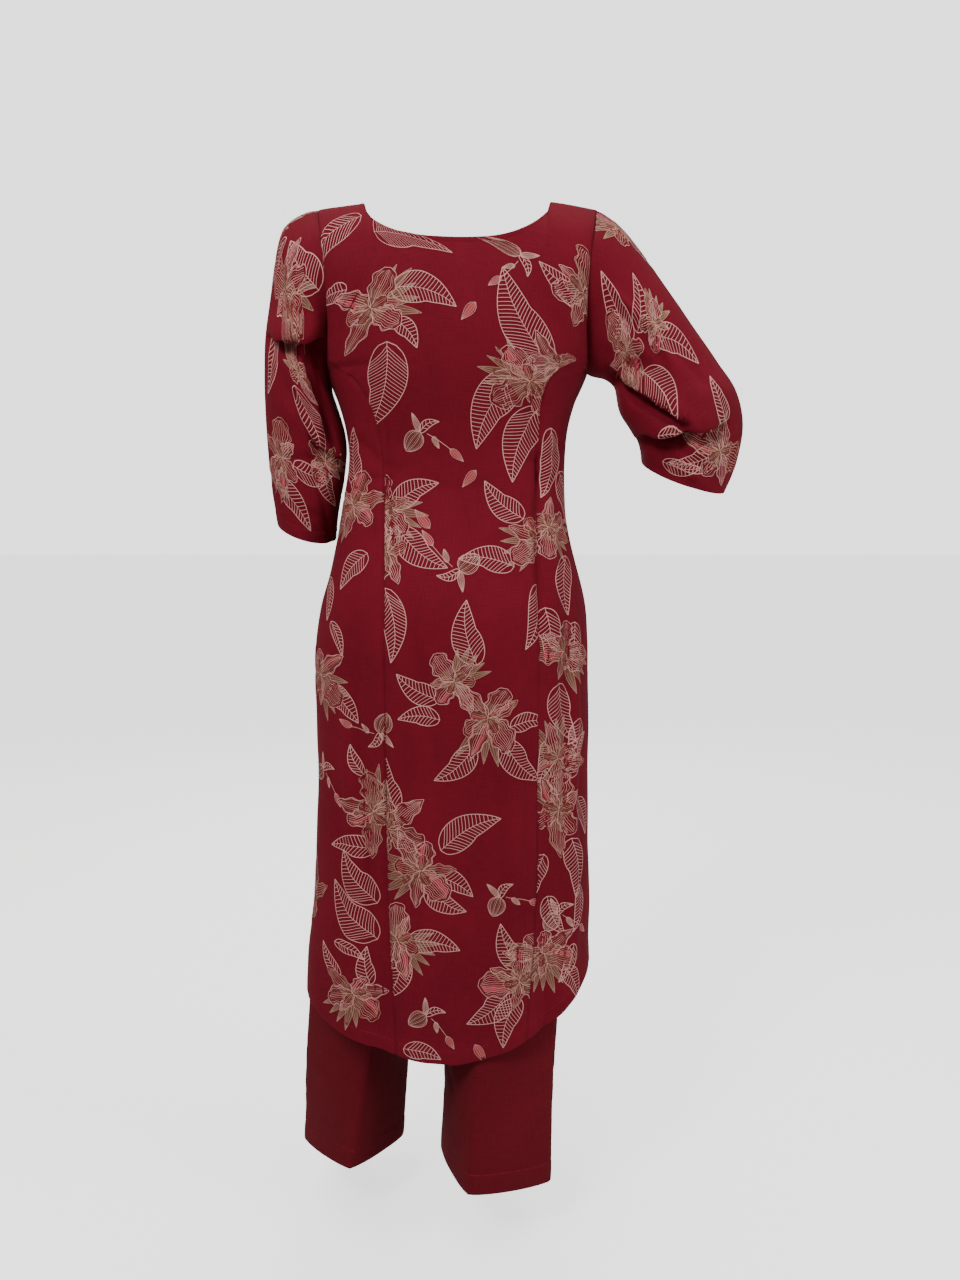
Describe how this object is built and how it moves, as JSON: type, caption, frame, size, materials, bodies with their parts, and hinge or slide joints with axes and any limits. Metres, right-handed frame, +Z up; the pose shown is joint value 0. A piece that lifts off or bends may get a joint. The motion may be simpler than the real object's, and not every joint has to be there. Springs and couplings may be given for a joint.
{
  "type": "salwar suit",
  "caption": "Salwar suit worn hollow: a fitted kurta with scooped neck, three-quarter sleeves, shaped back seams and side slits over straight creased trousers.",
  "frame": {"origin": "midway between the two points where the shoulder seams meet the neckline, where the wearer's shoulders hold the suit", "axes": "+Z up, the back of the suit faces +Y, +X to the wearer's left"},
  "size_m": [0.6455, 0.2675, 1.3451],
  "materials": {
    "printed_cloth": "maroon slub cloth with a line-drawn flower print in cream, beige and olive",
    "plain_cloth": "plain maroon slub cloth with pressed creases"
  },
  "bodies": {
    "root": {"kurta_back_center": "printed_cloth", "kurta_back_side_left": "printed_cloth", "kurta_back_side_right": "printed_cloth", "kurta_front": "printed_cloth", "sleeve_left": "printed_cloth", "sleeve_right": "printed_cloth", "trouser_back_left": "plain_cloth", "trouser_back_right": "plain_cloth", "trouser_front_left": "plain_cloth", "trouser_front_right": "plain_cloth", "trouser_waistband": "plain_cloth"}
  },
  "joints": []
}
